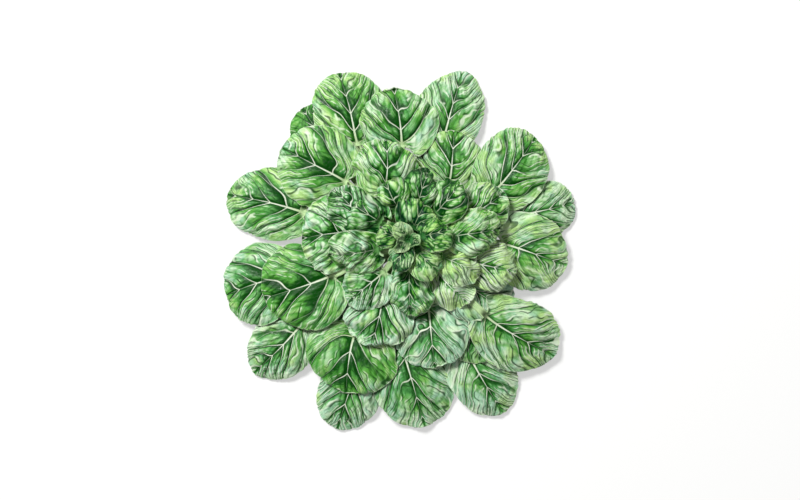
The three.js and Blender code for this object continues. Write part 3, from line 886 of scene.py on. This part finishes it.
# Young skin, with its wax still whole: crisper highlights on small crumpled panels.
inner_finish = leaf_finish(
    "inner_leaf_skin",
    dict(
        crack="#00300e", deep="#024510", body="#65ac50",
        crest="#d2edc2", warm="#e2f4a4", cool="#c4e3ea",
        vein="#e1f1d0", back="#8fb57c", stalk="#5c9150",
    ),
    gloss=0.24, rib=0.35, bubbly=0.3, vivid=1.0, fine=9.0, folded=0.85, pleats=1.7, pale=0.85,
)
INNER_SEED = 200
inner_moods = (  # curl, roll, size, hood, tone, yellow and painted rim shade of each
    (-12, -12, 1.12, 3.5, 0.9, 0.5, 0.0),
    (-25, 18, 1.15, 3.0, 0.25, 0.3, 0.3),
    (15, -15, 1.08, 3.0, -0.2, 0.0, 0.5),
    (-35, 28, 1.1, 5.0, -0.3, -0.6, 0.7),
    (-60, -14, 1.16, 7.5, 0.0, 0.3, 1.0),
    (-65, 24, 1.2, 8.0, 0.15, -0.6, 1.0),
    (-10, -25, 1.2, 4.0, 0.55, 0.4, 0.7),
    (-18, 20, 1.12, 3.0, 0.28, -0.7, 0.5),
)
for seed, (curl, roll, size, hood, tone, yellow, dusk) in enumerate(inner_moods, start=1):
    habit = dict(inner_habit, curl=curl, roll=roll, size=size)
    habit.update(hood=hood, tone=tone, yellow=yellow, dusk=dusk)
    leaf_piece(f"inner_leaf_{seed:02d}", habit, inner_finish, INNER_SEED + seed)


# ---- Heart leaves ----
# The 5 youngest leaves and the 3 buds they close round are dark and hooded, and stand almost
# upright.

heart_habit = dict(
    inner_habit, grid=(8, 54, 42), ears=1.5, sway=2.0, vein_depth=0.5, puff=0.3, puff_limit=1.6,
    cell=3.4, wave=0.6, wave_length=11.0, ruffle=0.9, ruffle_length=6.0, lobes=0.8, scallop=0.7,
    thickness=0.65,
)
# The youngest skin: a deep blue-green of painted shade where it is folded together, painted light
# on its blisters, and a stalk in dark green painted shade for the gaps of the heart.
heart_finish = leaf_finish(
    "heart_leaf_skin",
    dict(
        crack="#002a18", deep="#013a1b", body="#529c45",
        crest="#c6e8b0", warm="#dcf2a2", cool="#b8dee4",
        vein="#cfeab4", back="#6f9f5e", stalk="#245f2e",
    ),
    gloss=0.24, rib=0.2, bubbly=0.4, vivid=1.1, fine=7.0, folded=0.9, pleats=1.3, pale=0.8,
)
HEART_SEED, BUD_SEED = 300, 310
heart_moods = (  # curl, roll, size, inward, hood, tone, yellow and painted rim shade of each
    (-20, 25, 1.0, 1.5, 3.0, 0.35, 0.4, 0.5),
    (-22, -32, 1.4, -1.0, 3.0, 0.5, 0.4, 0.4),
    (-60, 15, 1.5, -1.0, 5.0, 0.15, -0.2, 1.0),
    (10, 30, 1.05, 1.5, 3.0, 0.15, 0.0, 0.5),
    (-28, -28, 1.35, -1.0, 3.0, 0.0, 0.4, 0.5),
)
for seed, (curl, roll, size, inward, hood, tone, yellow, dusk) in enumerate(heart_moods, start=1):
    habit = dict(heart_habit, curl=curl, roll=roll, size=size, inward=inward)
    habit.update(hood=hood, tone=tone, yellow=yellow, dusk=dusk)
    leaf_piece(f"heart_leaf_{seed:02d}", habit, heart_finish, HEART_SEED + seed)

bud_habit = dict(
    heart_habit, grid=(6, 40, 34), inward=2.0, ears=0.0, sway=1.0, cell=2.2, ruffle=0.5,
    lobes=0.3, scallop=0.3,
)
bud_moods = (  # curl, roll, size, hood, tone and yellow of each
    (-30, 20, 1.35, 2.0, 0.45, 0.6),
    (35, -25, 1.15, 1.2, -0.3, 0.0),
    (-10, -30, 1.3, 1.8, 0.7, 0.5),
)
for seed, (curl, roll, size, hood, tone, yellow) in enumerate(bud_moods, start=1):
    habit = dict(bud_habit, curl=curl, roll=roll, size=size, hood=hood, tone=tone, yellow=yellow)
    leaf_piece(f"bud_leaf_{seed:02d}", habit, heart_finish, BUD_SEED + seed)


# ---- Stem ----
# The short stem is a pale cone with low ridges between the stalks. It was cut straight through, and
# the cut face shows the pith inside its ring of vessels.

STEM_ROWS, STEM_COLUMNS, FACE_ROWS = 60, 96, 16
STEM_OUTLINE = (13.6, 15, 14, 3.6, 0.4)  # radius at the cut, above it, low, high and at the top
BROAD_RIDGES, NARROW_RIDGES = (0.5, 8, 5), (0.25, 13, -9)  # height, number and turns up the stem
CUT_RADIUS = 16
CUT_EDGE = (0.05, 0.5)  # heights over which the cut face goes over to the side
CUT_COLOURS = ("#eef0d8", "#e9edcf", "#b9cf97", "#dfe7c2", "#cfdcae")  # from the pith outwards
CUT_RINGS = (0.5, 0.62, 0.7)  # places of the middle three, in radii
SIDE_COLOURS, SIDE_GREENS = ("#c9d9a8", "#3f7434"), (2, 26)  # and the heights they go from and to
STEM_GRAIN, STEM_GRAIN_DEPTH = 10 / 9, 0.3

stem_box = np.array([corner[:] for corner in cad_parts["stem"].bound_box]) / MM
stem_height = stem_box[:, 2].max()
turn = np.arange(STEM_COLUMNS) / STEM_COLUMNS * 2 * math.pi
z = np.linspace(0, 1, STEM_ROWS)[:, None]
outline_heights = (0, 0.8, 12, stem_height - 2, stem_height)
profile = np.interp(z * stem_height, outline_heights, STEM_OUTLINE)
(broad, number, twist), (narrow, finer, back_twist) = BROAD_RIDGES, NARROW_RIDGES
ridges = broad * np.cos(number * turn + twist * z) * (1 - z)
ridges = ridges + narrow * np.cos(finer * turn + back_twist * z)
radius = profile + ridges * ease(profile, 1, 5)
skin = [radius * np.cos(turn), radius * np.sin(turn), stem_height * z + 0 * turn]
skin = np.stack(skin, axis=2)
face = np.linspace(0.93, 0.02, FACE_ROWS)[:, None, None] * skin[0] * (1, 1, 0)
skin = np.concatenate([face[::-1], skin])
rows, ring = skin.shape[:2]
quads = tube_faces(rows, ring).reshape(-1, 4)
end = (rows - 1) * ring
caps = [[*range(ring - 1, -1, -1)], [*range(end, end + ring)]]
mesh = bpy.data.meshes.new("stem")
mesh.from_pydata((skin.reshape(-1, 3) * MM).tolist(), [], quads.tolist() + caps)
mesh.shade_smooth()

# Wet plant flesh, cut with a knife: a pale, slightly rough face with a green ring of vessels, and
# sides that go from cream to the green of the young stalks. The dark green near the top is
# painted shade where the stem stands inside the heart.
flesh, tree = new_material("cut_stem_flesh")
spot = put(tree, "TexCoord").outputs["Object"]
flat = put(tree, "VectorMath", spot, (1, 1, 0), operation="MULTIPLY")
out = put(tree, "VectorMath", flat, operation="LENGTH")
out = put(tree, "MapRange", out, 0.0, CUT_RADIUS * MM)
vessels = put(tree, "ValToRGB", out)
stops = vessels.color_ramp.elements
stops[0].color, stops[1].color = linear(CUT_COLOURS[0]), linear(CUT_COLOURS[-1])
for at, colour in zip(CUT_RINGS, CUT_COLOURS[1:-1]):
    stops.new(at).color = linear(colour)
tall = put(tree, "SeparateXYZ", spot).outputs["Z"]
# Greener upwards, and darkest at the top as painted shade inside the heart.
young = put(tree, "MapRange", tall, *(height * MM for height in SIDE_GREENS))
sides = put(tree, BLEND, young, *map(linear, SIDE_COLOURS))
above_cut = put(tree, "MapRange", tall, *(height * MM for height in CUT_EDGE))
colour = put(tree, BLEND, above_cut, vessels, sides)
grain = put(tree, "TexNoise", spot, 1 / (STEM_GRAIN * MM), 4.0)
relief = {"Strength": 0.5, "Distance": STEM_GRAIN_DEPTH * MM, "Height": grain}
wet = {"Base Color": colour, "Roughness": 0.5, "Normal": put(tree, "Bump", named=relief)}
put(tree, "OutputMaterial", put(tree, "BsdfPrincipled", named=wet))
mesh.materials.append(flesh)
stem = new_object("stem", mesh)
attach(stem, "root")
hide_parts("stem")
